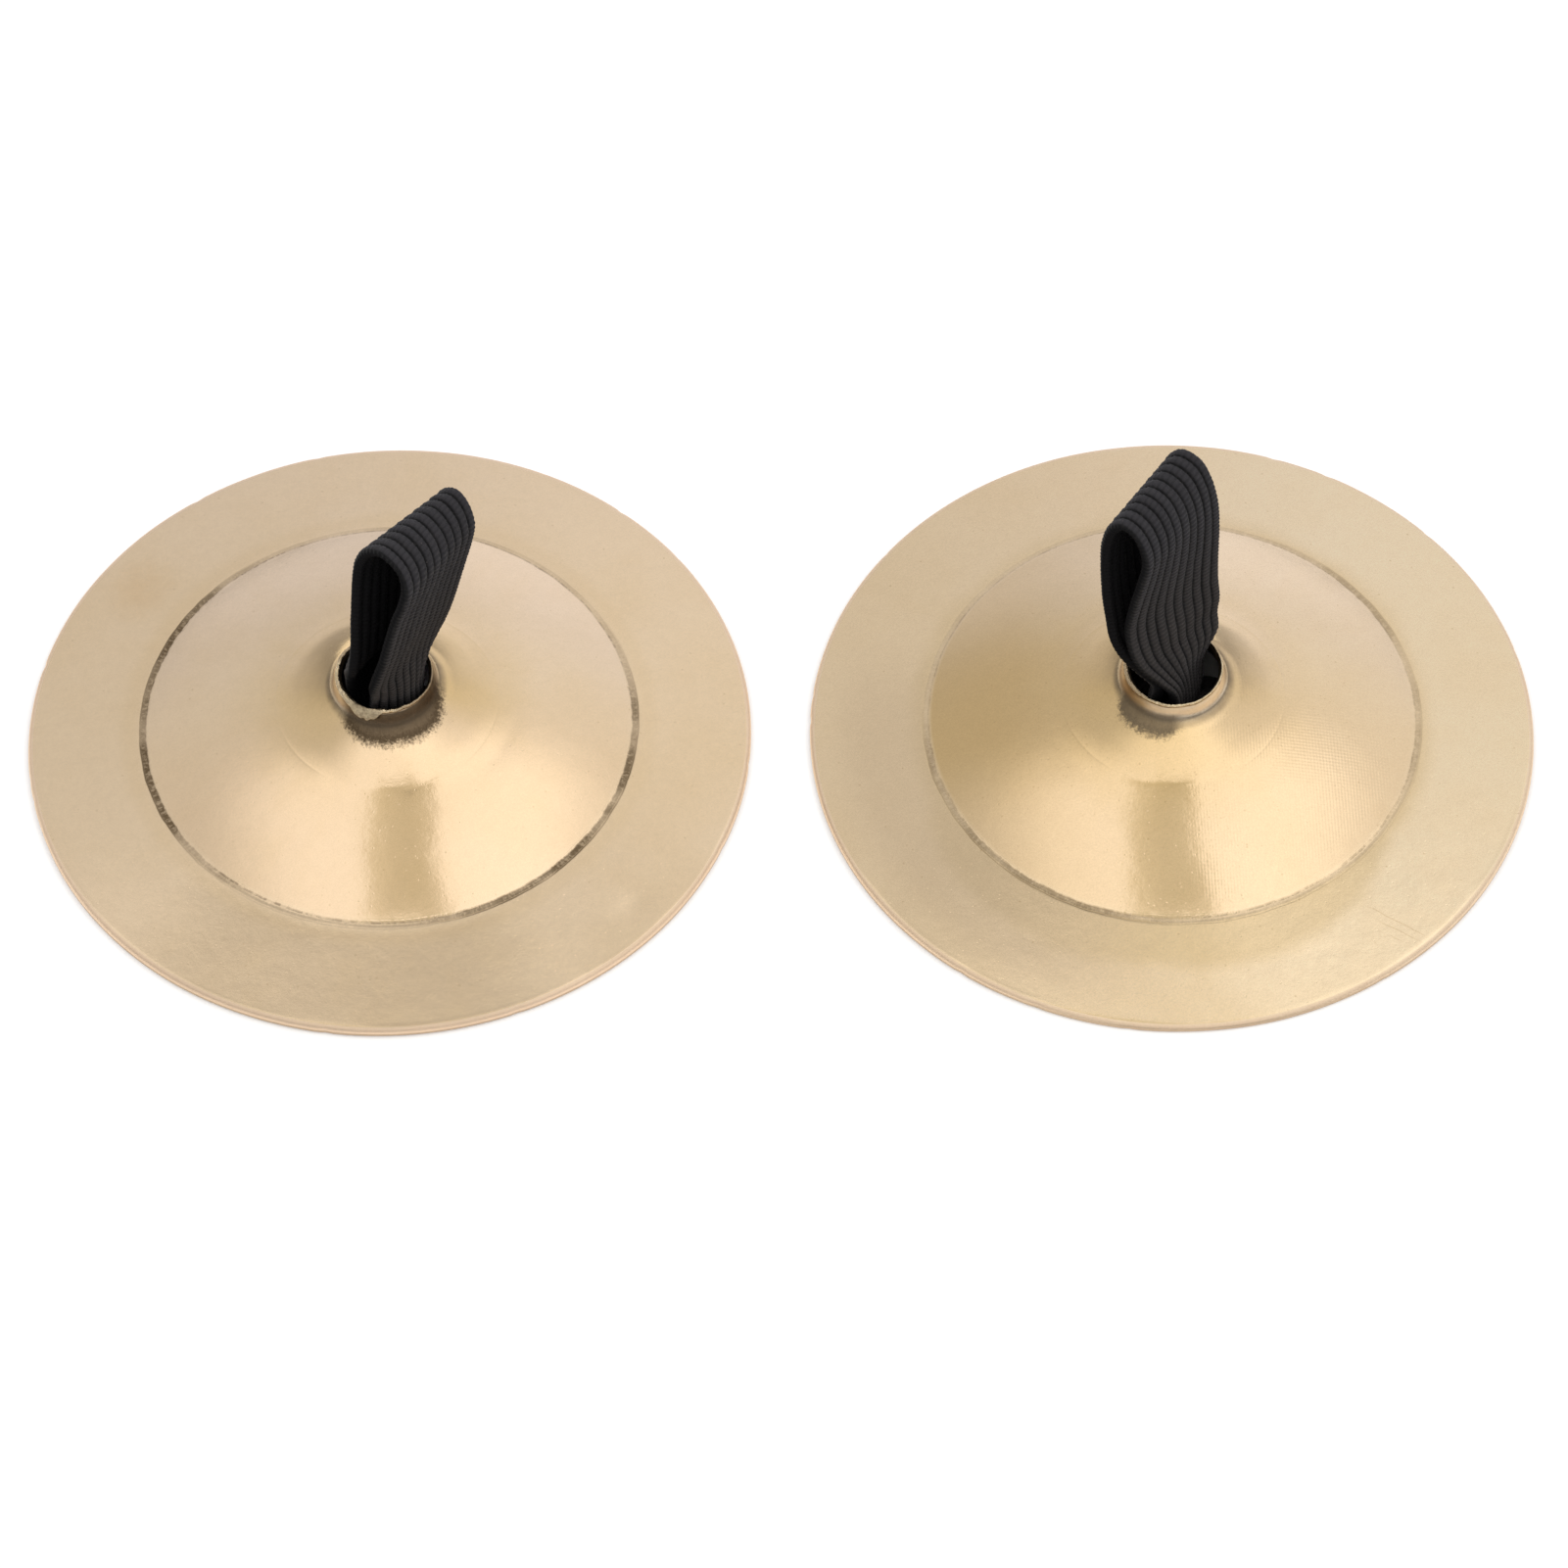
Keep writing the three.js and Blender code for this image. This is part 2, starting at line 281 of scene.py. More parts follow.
def shape_lip(rad, z, angle, part, over_lip, side):
    """A torn lip of changing height, folded outwards and down in places."""
    look = PLATE_LOOKS[side]
    seed = look["seed"]
    high = smoothstep(z, LIP_Z - 0.9, LIP_Z - 0.1) * (rad < 5.2)
    rag = 0.16 * ring_noise(angle, cells=9, seed=seed + 6)
    rag = rag + 0.09 * ring_noise(angle, cells=23, seed=seed + 7)
    rag = rag + 0.05 * ring_noise(angle, cells=71, seed=seed + 8)
    z = z + high * rag * look["ragged"]
    outer = ((part >= LIP) & (part <= LIP_END)) * (1 - smoothstep(over_lip, 0.0, 0.72))
    if side == "left":
        turn = away(angle, 252)
        fold = np.where(turn < 0, hump(turn, 0.95), hump(turn, 0.26, 4))
        tip = hump(away(angle, 250), 0.30)
        frill = 1 + 0.16 * ring_noise(angle, cells=41, seed=seed + 12)
        frill = frill + 0.10 * ring_noise(angle, cells=97, seed=seed + 13)
        rad = rad + outer * fold * (0.24 + 0.22 * tip) * frill
        z = z - outer * fold * (0.14 + 0.44 * tip) * frill
    else:
        frill = 1 + 0.5 * ring_noise(angle, cells=33, seed=seed + 12)
        rad = rad + outer * 0.05 * frill
        z = z - outer * 0.04 * frill
    return rad, z


def plate(side, centre):
    profile = plate_profile()
    look = PLATE_LOOKS[side]
    angle = np.linspace(0, 2 * math.pi, PLATE_SEGMENTS, endpoint=False)[:, None]
    rad, z, part = (np.repeat(profile[:, i][None], PLATE_SEGMENTS, 0) for i in range(3))
    over_lip = np.clip((part - LIP) / (math.pi * LIP_STEP), 0, 1)  # 0 outside to 1 inside
    z = shape_sheet(rad, z, angle, part, side)
    rad, z = shape_rim(rad, z, angle, part, look["seed"])
    rad = shape_neck(rad, z, angle, part, over_lip, look)
    rad, z = shape_lip(rad, z, angle, part, over_lip, side)
    verts = np.stack([rad * np.cos(angle), rad * np.sin(angle), np.maximum(z, 0.0)], -1)
    faces = grid_faces(PLATE_SEGMENTS, len(profile))
    ob = mesh_object(f"{side}_brass_plate", verts.reshape(-1, 3), faces)
    add_attribute(ob, "part", part)
    add_attribute(ob, "rad", np.repeat(profile[:, 0][None], PLATE_SEGMENTS, 0))
    ob.location = centre
    return ob


# ---------------------------------------------------------------- the elastic
# Strap axes (u, w, z): u runs across the band from its front edge to its back edge,
# w runs level through the loop, towards the right and the viewer.
CORDS, POINTS_PER_CORD = 10, 8
WEFT_PITCH = 0.42
LOOP_HALF = 4.98  # half the width of the open band
LOOP_T, LOOP_STEP = 1.0, 0.105
TAIL_T, TAIL_STEP = 0.95, 0.2
MIDDLE = slice(3, 6)  # columns of a row's middle point

# azimuth: bearing of the u axis; drop: how far the loop's top slides along the line of sight,
# top: the height where it slides that far; rise and fall: (front edge, middle, back edge),
# each (u, w, z); front and back: (w, z) of the open loop's two edges, row for row
STRAPS = {
    "left": dict(
        azimuth=43.7, drop=9.5, top=36.0,
        rise=[
            ((-2.0, -0.75, 4.4), (0, -1.3, 4.3), (2.0, -0.75, 4.4)),
            ((-2.6, -0.9, 6.4), (0, -2.3, 6.3), (2.6, -0.9, 6.4)),
            ((-2.9, -1.1, 8.4), (0, -2.85, 8.3), (2.9, -1.1, 8.4)),
            ((-2.95, -1.15, 10.3), (0, -2.8, 10.4), (2.95, -1.2, 10.4)),
            ((-3.75, -0.4, 12.2), (0, -1.6, 12.4), (3.9, -0.9, 12.4)),
            ((-4.6, 0.75, 14.2), (0, -0.2, 14.4), (4.7, -0.2, 14.5)),
        ],
        front=[
            (1.35, 16.2), (1.7, 19.4), (1.9, 23.3), (2.1, 26.8), (2.35, 29.8), (2.85, 32.5),
            (4.0, 34.95), (6.0, 36.6), (8.15, 36.25), (8.85, 34.4), (8.4, 31.7), (7.35, 28.3),
            (6.35, 24.4), (5.4, 20.4), (4.3, 16.6),
        ],
        back=[
            (0.6, 16.6), (1.1, 19.6), (1.6, 23.0), (2.1, 26.2), (2.4, 29.0), (2.75, 31.6),
            (3.4, 34.1), (4.8, 35.6), (6.0, 35.0), (6.55, 33.1), (6.15, 30.6), (5.4, 27.4),
            (4.65, 24.3), (3.75, 20.6), (2.7, 16.9),
        ],
        fall=[
            ((-4.5, 3.3, 14.0), (0, 3.0, 14.2), (4.7, 1.9, 14.4)),
            ((-3.6, 2.3, 12.0), (0, 3.0, 12.2), (4.0, 1.4, 12.4)),
            ((-2.95, 1.45, 10.3), (0, 2.95, 10.2), (2.95, 1.25, 10.4)),
            ((-2.9, 1.1, 8.4), (0, 2.85, 8.3), (2.9, 1.1, 8.4)),
            ((-2.6, 0.9, 6.4), (0, 2.3, 6.3), (2.6, 0.9, 6.4)),
            ((-2.0, 0.75, 4.4), (0, 1.3, 4.3), (2.0, 0.75, 4.4)),
        ],
    ),
    "right": dict(
        azimuth=55.7, drop=3.6, top=32.5,
        rise=[
            ((-2.0, -0.75, 4.4), (0, -1.2, 4.3), (2.0, -0.75, 4.4)),
            ((-2.6, -0.5, 6.4), (0, -1.5, 6.3), (2.6, -0.9, 6.4)),
            ((-2.9, 0.1, 8.4), (0, -1.3, 8.3), (2.9, -1.2, 8.4)),
            ((-3.1, 0.2, 10.3), (0, -1.3, 10.4), (3.0, -1.2, 10.4)),
            ((-3.9, -1.25, 12.2), (0, -1.75, 12.4), (4.0, -1.1, 12.4)),
            ((-4.7, -2.4, 14.2), (0, -2.15, 14.4), (4.7, -1.5, 14.4)),
        ],
        front=[
            (-3.35, 16.2), (-3.95, 19.4), (-4.35, 23.0), (-4.5, 26.4), (-4.4, 29.0),
            (-3.85, 31.4), (-2.8, 32.7), (-1.6, 32.4), (-0.65, 30.9), (-0.35, 29.0),
            (-0.9, 25.6), (-1.6, 22.0), (-2.0, 18.6), (-1.4, 15.6),
        ],
        back=[
            (-2.2, 16.4), (-2.95, 19.4), (-3.6, 23.1), (-4.0, 26.7), (-4.05, 29.3),
            (-3.7, 31.5), (-2.6, 32.95), (-1.15, 32.75), (-0.15, 31.1), (0.45, 28.8),
            (0.75, 25.6), (0.8, 22.0), (0.9, 18.6), (1.1, 15.8),
        ],
        fall=[
            ((-4.5, -0.6, 13.5), (0, 0.1, 13.6), (4.8, 1.05, 13.9)),
            ((-3.6, 0.55, 11.6), (0, 0.8, 11.8), (4.45, 1.35, 12.0)),
            ((-2.8, 1.45, 9.9), (0, 1.1, 10.0), (3.2, 1.0, 10.3)),
            ((-2.6, 1.6, 8.4), (0, 1.3, 8.3), (2.9, 0.6, 8.4)),
            ((-2.5, 1.1, 6.4), (0, 1.5, 6.3), (2.6, 0.8, 6.4)),
            ((-2.0, 0.75, 4.4), (0, 1.2, 4.3), (2.0, 0.75, 4.4)),
        ],
    ),
}
LEAN_FROM, LEAN_POWER = 11.0, 1.12  # height where the lean starts, and how it grows

# (distance from the knot, height, half width) along a tail
TAIL_STATIONS = [
    (2.6, 2.6, 2.6), (4.6, 2.7, 3.3), (6.6, 2.25, 4.0),
    (9.0, 1.75, 4.25), (11.4, 1.35, 4.35), (13.3, 1.15, 4.4),
]

KNOT_POINTS, KNOT_CORDS, KNOT_SCALE = 150, 5, 1.42
KNOT_HALF_W, KNOT_HALF_T = 1.95, 1.15
KNOT_Z, KNOT_WAVE = 2.65, 0.95  # mean height of the knot's path, and its swing


def strap_curve(rows, count):
    """Evenly spaced rows along a centripetal Catmull-Rom curve, and their distances along it."""
    gaps = np.sqrt(np.linalg.norm(np.diff(rows[:, MIDDLE], axis=0), axis=1))
    knots = np.r_[0, np.cumsum(gaps)]
    padded_rows = np.vstack([2 * rows[0] - rows[1], rows, 2 * rows[-1] - rows[-2]])
    padded_knots = np.r_[-gaps[0], knots, knots[-1] + gaps[-1]]
    at = np.linspace(0, knots[-1], count * 4)
    span = np.clip(np.searchsorted(knots, at, side="right") - 1, 0, len(rows) - 2) + 1
    at = at[:, None]
    times = [padded_knots[span + i][:, None] for i in range(-1, 3)]
    points = [padded_rows[span + i] for i in range(-1, 3)]

    def between(first, second, low, high):
        return (high - at) / (high - low) * first + (at - low) / (high - low) * second

    near = [between(points[i], points[i + 1], times[i], times[i + 1]) for i in range(3)]
    wide = [between(near[i], near[i + 1], times[i], times[i + 2]) for i in range(2)]
    curve = between(wide[0], wide[1], times[1], times[2])
    steps = np.linalg.norm(np.diff(curve[:, MIDDLE], axis=0), axis=1)
    length = np.r_[0, np.cumsum(steps)]
    along = np.linspace(0, length[-1], count)
    columns = [np.interp(along, length, column) for column in curve.T]
    return np.stack(columns, 1), along


def cord_profile():
    """Place across the band (-1 to 1), half thickness (0 to 1) and cord number of each point."""
    across = np.linspace(-1, 1, CORDS * POINTS_PER_CORD + 1)
    cord = (across + 1) / 2 * CORDS
    rib = np.abs(np.sin(math.pi * cord)) ** 0.55
    depth = 0.46 + 0.14 * hash01(np.round(cord), 5)
    ridge = 1 - depth * (1 - rib)
    ridge[0] = ridge[-1] = 0.0
    ridge[1] *= 0.74
    ridge[-2] *= 0.74
    return across, ridge, cord


def cap_ends(faces, rows, columns):
    faces.append(list(range(columns)))
    faces.append(list(range((rows - 1) * columns, rows * columns))[::-1])


def band(rows, name, step, thickness):
    """A corded band swept along rows of (front edge, middle, back edge)."""
    rows = np.array([np.concatenate([np.asarray(point, float) for point in row]) for row in rows])
    _, along = strap_curve(rows, 40)
    curve, along = strap_curve(rows, int(along[-1] / step))
    across, ridge, cord = cord_profile()
    front, middle, back = (curve[:, None, i:i + 3] for i in (0, 3, 6))
    x = across[None, :, None]
    verts = front * (x * x - x) / 2 + middle * (1 - x * x) + back * (x * x + x) / 2
    # each cord wanders a little
    wander = 0.05 * line_noise(along[:, None] / 2.3 + 17.0 * np.round(cord)[None], 4)
    sideways = np.gradient(verts, axis=1)
    normal = np.cross(np.gradient(verts, axis=0), sideways)
    normal /= np.linalg.norm(normal, axis=2, keepdims=True)
    sideways = sideways / np.linalg.norm(sideways, axis=2, keepdims=True)
    # wefts cross the cords and pinch them at a fine pitch
    phase = along[:, None] / WEFT_PITCH + 0.5 * (np.floor(cord)[None] % 2)
    weft = 0.5 + 0.5 * np.cos(2 * math.pi * phase)
    half = thickness / 2 * ridge[None] * (1 - 0.15 * (1 - weft))
    edge = (np.abs(across) > 0.999)[None] * np.sign(across)[None]
    shift = edge * 0.16 * (weft - 0.5) + wander * (np.abs(across) < 0.97)[None] * 0.8
    verts = verts + sideways * shift[..., None]
    # the yarn stands up a little unevenly
    i, j = np.meshgrid(*map(np.arange, verts.shape[:2]), indexing="ij")
    half = half + 0.045 * (hash01(i * 211.0 + j * 17.0, 9) - 0.5) * (ridge > 0.2)[None]
    top = verts + normal * half[..., None]
    bottom = verts - normal * half[..., None]
    ring = np.concatenate([top, bottom[:, -2:0:-1]], 1)
    count, size = ring.shape[:2]
    faces = grid_faces(count, size, closed_rows=False)
    cap_ends(faces, count, size)
    ob = mesh_object(name, ring.reshape(-1, 3), faces)
    # within is 1 on the side that faces into the loop
    within = np.r_[np.ones(len(across)), np.zeros(len(across) - 2)]
    add_attribute(ob, "along", np.repeat(along[:, None], size, 1))
    for key, values in (
        ("cord", np.concatenate([cord, cord[-2:0:-1]])),
        ("ridge", np.concatenate([ridge, ridge[-2:0:-1]])),
        ("within", within),
    ):
        add_attribute(ob, key, np.repeat(values[None], count, 0))
    return ob


def loop_rows(side):
    """The loop's rows, sliding along the line of sight as they rise."""
    strap = STRAPS[side]
    rows = list(strap["rise"])
    for (wf, zf), (wb, zb) in zip(strap["front"], strap["back"]):
        middle = (0, (wf + wb) / 2, (zf + zb) / 2)
        rows.append(((-LOOP_HALF, wf, zf), middle, (LOOP_HALF, wb, zb)))
    rows += strap["fall"]
    azimuth = math.radians(strap["azimuth"])
    leaned = []
    for row in rows:
        height = (row[0][2] + row[2][2]) / 2
        share = max(0.0, (height - LEAN_FROM) / (strap["top"] - LEAN_FROM))
        slide = strap["drop"] * share ** LEAN_POWER
        shift_u = SIGHT_LEVEL * slide * math.sin(azimuth)
        shift_w = -SIGHT_LEVEL * slide * math.cos(azimuth)
        shift_z = -SIGHT_DROP * slide
        leaned.append(tuple((u + shift_u, w + shift_w, z + shift_z) for u, w, z in row))
    return leaned


def tail(name, sign):
    """One end of the strap, lying out from the knot towards +w or -w."""
    rows = []
    for out, z, half in TAIL_STATIONS:
        w = sign * out
        rows.append(((-half, w, z - 0.15), (0, w, z + 0.12), (half, w, z - 0.15)))
    return band(rows, name, TAIL_STEP, TAIL_T)


def knot(name):
    """A flattened bundle of cords swept round a closed trefoil, as in an overhand knot."""
    turn = np.linspace(0, 2 * math.pi, KNOT_POINTS, endpoint=False)
    path = np.stack([
        (np.sin(turn) + 2 * np.sin(2 * turn)) * KNOT_SCALE,
        (np.cos(turn) - 2 * np.cos(2 * turn)) * KNOT_SCALE,
        KNOT_Z - KNOT_WAVE * np.sin(3 * turn),
    ], 1)
    ahead = np.roll(path, -1, 0) - np.roll(path, 1, 0)
    ahead /= np.linalg.norm(ahead, axis=1, keepdims=True)
    sideways = np.cross(ahead, [0, 0, 1.0])
    sideways /= np.linalg.norm(sideways, axis=1, keepdims=True)
    upward = np.cross(sideways, ahead)
    around = np.linspace(0, 2 * math.pi, KNOT_CORDS * 2 * 6, endpoint=False)
    x, y = (np.sign(v) * np.abs(v) ** 0.8 for v in (np.cos(around), np.sin(around)))
    rib = 1 - 0.10 * (1 - np.abs(np.sin(KNOT_CORDS * (x + 1) * math.pi / 2)) ** 0.6)
    verts = path[:, None] + sideways[:, None] * (x * rib)[None, :, None] * KNOT_HALF_W
    verts = verts + upward[:, None] * (y * rib)[None, :, None] * KNOT_HALF_T
    size = len(around)
    ob = mesh_object(name, verts.reshape(-1, 3), grid_faces(KNOT_POINTS, size))
    along = np.r_[0, np.cumsum(np.linalg.norm(np.diff(path, axis=0), axis=1))]
    add_attribute(ob, "along", np.repeat(along[:, None], size, 1))
    add_attribute(ob, "cord", np.repeat(((x + 1) / 2 * KNOT_CORDS)[None], KNOT_POINTS, 0))
    add_attribute(ob, "ridge", np.ones((KNOT_POINTS, size)))
    return ob


def strap_matrix(side, centre):
    azimuth = math.radians(STRAPS[side]["azimuth"])
    cos, sin = math.cos(azimuth), math.sin(azimuth)
    return Matrix((
        (cos, sin, 0, centre.x), (sin, -cos, 0, centre.y), (0, 0, 1, 0), (0, 0, 0, 1),
    ))


# ---------------------------------------------------------------- shader building
def make_node(tree, kind, inputs=None, **props):
    node = tree.nodes.new(kind)
    for name, value in props.items():
        setattr(node, name, value)
    set_inputs(node, inputs or {})
    return node


def set_inputs(node, inputs):
    for key, value in inputs.items():
        if isinstance(value, Field):
            node.id_data.links.new(value.socket, node.inputs[key])
        else:
            node.inputs[key].default_value = value


class Field:
    """A node's output. Its arithmetic and methods add further nodes to the same tree."""

    def __init__(self, socket):
        self.socket = socket

    def node(self, kind, inputs, output=0, **props):
        return Field(make_node(self.socket.id_data, kind, inputs, **props).outputs[output])

    def math(self, operation, *others):
        inputs = dict(enumerate((self, *others)))
        return self.node("ShaderNodeMath", inputs, operation=operation)

    def __mul__(self, other):
        return self.math("MULTIPLY", other)

    def __rmul__(self, number):
        return self.node("ShaderNodeMath", {0: number, 1: self}, operation="MULTIPLY")

    def __add__(self, other):
        return self.math("ADD", other)

    def __sub__(self, other):
        return self.math("SUBTRACT", other)

    def __rsub__(self, number):
        return self.node("ShaderNodeMath", {0: number, 1: self}, operation="SUBTRACT")

    def __abs__(self):
        return self.math("ABSOLUTE")

    def max(self, other):
        return self.math("MAXIMUM", other)

    def mad(self, by, plus):
        return self.math("MULTIPLY_ADD", by, plus)

    def ramp(self, over, to=(0.0, 1.0)):
        """Runs smoothly between the values in to while this runs between those in over."""
        inputs = {0: self, 1: over[0], 2: over[1], 3: to[0], 4: to[1]}
        props = dict(interpolation_type="SMOOTHSTEP", clamp=True)
        return self.node("ShaderNodeMapRange", inputs, **props)

    def peak(self, at, width):
        """1 at the value at, falling smoothly to 0 at width either side."""
        return abs(self - at).ramp(over=(0.0, width), to=(1.0, 0.0))

    def tint(self, base, colour, share=None):
        """The base with colour laid over it where this mask, times share, is high."""
        mask = self if share is None else self * share
        props = dict(data_type="RGBA", blend_type="MIX", clamp_factor=True)
        return mask.node("ShaderNodeMix", {0: mask, 6: base, 7: colour}, output=2, **props)

    def vector(self, operation, by):
        return self.node("ShaderNodeVectorMath", {0: self, 1: by}, operation=operation)

    def split(self):
        node = make_node(self.socket.id_data, "ShaderNodeSeparateXYZ", {0: self})
        return [Field(socket) for socket in node.outputs]

    def noise(self, scale, detail=2.0, rough=0.5):
        inputs = {"Vector": self, "Scale": scale, "Detail": detail, "Roughness": rough}
        return self.node("ShaderNodeTexNoise", inputs)

    def cells(self, scale):
        """Distance to the nearest of a scatter of points."""
        inputs = {"Vector": self, "Scale": scale}
        return self.node("ShaderNodeTexVoronoi", inputs, output="Distance")

    def bump(self, strength, distance, under=None):
        inputs = {"Height": self, "Strength": strength, "Distance": distance}
        if under is not None:
            inputs["Normal"] = under
        return self.node("ShaderNodeBump", inputs)


def combine(x, y, z):
    return x.node("ShaderNodeCombineXYZ", {0: x, 1: y, 2: z})


def coords(tree, kind="Object"):
    return Field(make_node(tree, "ShaderNodeTexCoord").outputs[kind])


def mesh_value(tree, name):
    return Field(make_node(tree, "ShaderNodeAttribute", attribute_name=name).outputs["Fac"])


def rgb(red, green, blue):
    return (red, green, blue, 1.0)


def empty_tree(owner):
    owner.use_nodes = True
    owner.node_tree.nodes.clear()
    return owner.node_tree


def principled(name):
    material = bpy.data.materials.new(name)
    tree = empty_tree(material)
    out = make_node(tree, "ShaderNodeOutputMaterial")
    bsdf = make_node(tree, "ShaderNodeBsdfPrincipled")
    tree.links.new(bsdf.outputs[0], out.inputs[0])
    return material, bsdf


# ---------------------------------------------------------------- brass
TAN = rgb(0.86, 0.62, 0.33)
BROWN = rgb(0.50, 0.33, 0.15)


class Brass:
    """Satin brass, coloured and worn by place, with painted shade, highlight and reflection in
    places: neck, boss, crease, flange and rim.

    Each method lays its marks over self.col; the masks it keeps also roughen the surface.
    Distances and noise scales are in millimetres.
    """

    def __init__(self, side):
        self.left = side == "left"
        self.material, self.bsdf = principled(f"{side}_brass")
        tree = self.material.node_tree
        raw = coords(tree).vector("MULTIPLY", (1000.0, 1000.0, 1000.0))
        # the right plate takes its noise from another place
        self.co = raw.vector("ADD", (0, 0, 0) if self.left else (50.0, 25.0, 0))
        self.x, self.y, self.z = raw.split()
        self.rad = (self.x * self.x + self.y * self.y).math("SQRT")
        self.angle = self.y.math("ARCTAN2", self.x)
        self.part = mesh_value(tree, "part")
        self.upper = self.part.ramp(over=(5.2, 4.8))  # 1 on everything but the inside
        # coordinates that follow the circle, for brushed marks and for the neck's hatching
        self.arc = combine(self.angle * 21.4, self.rad * 0.45, 0.0 if self.left else 9.0)
        self.hatch = combine(self.angle * 6.0, self.rad * 0.55, 3.0 if self.left else 5.0)
        self.clean_metal()
        self.tarnish()
        self.neck_warmth()
        if self.left:
            self.flange_stain()
        else:
            self.boss_film()
        self.grain()
        if not self.left:
            self.dots_and_scratches()
        self.crease_band()
        self.neck()
        self.lip_edge()
        self.rim_and_inside()
        colour = self.col.node(
            "ShaderNodeVectorMath", {0: self.col, "Scale": self.gain}, operation="SCALE"
        )
        set_inputs(self.bsdf, {
            "Base Color": colour, "Metallic": 1.0,
            "Roughness": self.roughness(), "Normal": self.relief(),
        })

    def bearing(self, at, half, soft):
        """1 within half of a bearing, fading over soft, all in degrees."""
        cosine = (self.angle - math.radians(at)).math("COSINE")
        outer = math.cos(math.radians(min(half + soft, 179)))
        return cosine.ramp(over=(outer, math.cos(math.radians(half))))

    def clean_metal(self):
        rad = self.rad
        if self.left:
            # painted shade: the flange is darker and browner towards the viewer
            front_flange_shade = rad.ramp(over=(21.6, 22.8)) * self.bearing(at=262, half=18, soft=24)
            col = front_flange_shade.tint(rgb(0.985, 0.765, 0.520), rgb(0.805, 0.618, 0.408))
            front_colour = rgb(0.985, 0.740, 0.488)
        else:
            # painted highlight: the flange is paler and lighter towards the right
            right_flange_highlight = rad.ramp(over=(21.6, 22.6)) * self.x.ramp(over=(-6.0, 12.0))
            col = right_flange_highlight.tint(rgb(0.985, 0.765, 0.500), rgb(1.0, 0.80, 0.54))
            front_colour = rgb(0.985, 0.742, 0.470)
        front = self.bearing(at=275, half=55, soft=50) * rad.ramp(over=(21.4, 20.6))
        self.col = front.tint(col, front_colour)

    def tarnish(self):
        """Broad faint clouds, and streaks round the circle."""
        cloud = self.co.noise(scale=0.055, detail=3.0, rough=0.55).ramp(over=(0.42, 0.72))
        col = cloud.tint(self.col, TAN, share=0.22)
        streaks = self.arc.noise(scale=0.30, detail=4.0, rough=0.65).ramp(over=(0.45, 0.75))
        self.col = streaks.tint(col, TAN, share=0.10)

    def neck_warmth(self):
        """Warmer brass near the neck, most of all behind it."""
        near = self.rad + self.co.noise(scale=0.25, detail=3.0) * 4.0
        near = near.ramp(over=(17.0, 7.5))
        if self.left:
            sides = self.bearing(at=160, half=50, soft=50)
            sides = sides.max(self.bearing(at=25, half=25, soft=35))
            near = near * sides.mad(by=0.75, plus=0.25)
        else:
            near = near * self.bearing(at=200, half=60, soft=60).mad(by=0.5, plus=0.5)
        share = 0.68 if self.left else 0.80
        col = near.tint(self.col, rgb(0.84, 0.60, 0.29), share=share)
        close = self.rad + self.co.noise(scale=0.35, detail=3.0) * 3.0
        close = close.ramp(over=(12.0, 6.5)) * self.y.ramp(over=(-4.0, 1.0))
        self.col = close.tint(col, rgb(0.80, 0.55, 0.24), share=0.45)

    def flange_stain(self):
        """A tan ring outside the crease, and a brown stain at the back left of the flange."""
        col = self.rad.peak(at=22.4, width=1.6).tint(self.col, TAN, share=0.20)
        from_x, from_y = self.x - -22.5, self.y - 15.5
        distance = (from_x * from_x + from_y * from_y * 0.6).math("SQRT")
        stain = distance + self.co.noise(scale=0.8, detail=3.0) * 3.0
        stain = stain.ramp(over=(5.2, 1.6))
        self.col = stain.tint(col, rgb(0.80, 0.50, 0.22), share=0.22)

    def boss_film(self):
        """A yellow-brown film on the left half of the boss, and duller arcs on the flange."""
        co, rad, y = self.co, self.rad, self.y
        film = (self.x + co.noise(scale=0.14, detail=3.0) * 4.0).ramp(over=(1.5, -14.0))
        film = film * rad.ramp(over=(21.35, 20.8))
        behind = y.ramp(over=(14.0, 2.0), to=(0.55, 1.0))
        film = film * (behind * y.ramp(over=(-14.0, -3.0), to=(0.35, 1.0)))
        col = film.tint(self.col, rgb(0.72, 0.50, 0.23), share=0.86)
        # the arc outside the crease is wider at the front
        reach = self.bearing(at=262, half=22, soft=45).mad(by=3.3, plus=22.7)
        reach = reach + (co.noise(scale=0.22, detail=3.0) - 0.5) * 1.6
        arc = (rad - reach).ramp(over=(0.9, -1.2)) * rad.ramp(over=(21.4, 21.8))
        arc = arc * self.bearing(at=255, half=60, soft=60).mad(by=0.5, plus=0.5)
        col = arc.tint(col, rgb(0.80, 0.60, 0.33), share=0.62)
        dull = self.bearing(at=213, half=28, soft=30) * rad.ramp(over=(31.0, 26.5))
        dull = rad.ramp(over=(21.4, 22.0)) * dull
        self.col = dull.tint(col, rgb(0.80, 0.61, 0.40), share=0.50)

    def grain(self):
        """Fine satin grain, which scales the final colour, and a few larger specks."""
        fine = self.co.noise(scale=5.5, detail=3.0, rough=0.7) - 0.5
        mottled = (self.co.noise(scale=1.1, detail=2.0, rough=0.6) - 0.5).mad(by=0.07, plus=1.0)
        self.gain = fine.mad(by=0.16 if self.left else 0.26, plus=1.0) * mottled
        specks = self.co.cells(scale=1.1).ramp(over=(0.15, 0.05))
        specks = specks * self.co.noise(scale=0.55).ramp(over=(0.50, 0.62))
        self.col = specks.tint(self.col, BROWN, share=0.22 if self.left else 0.34)

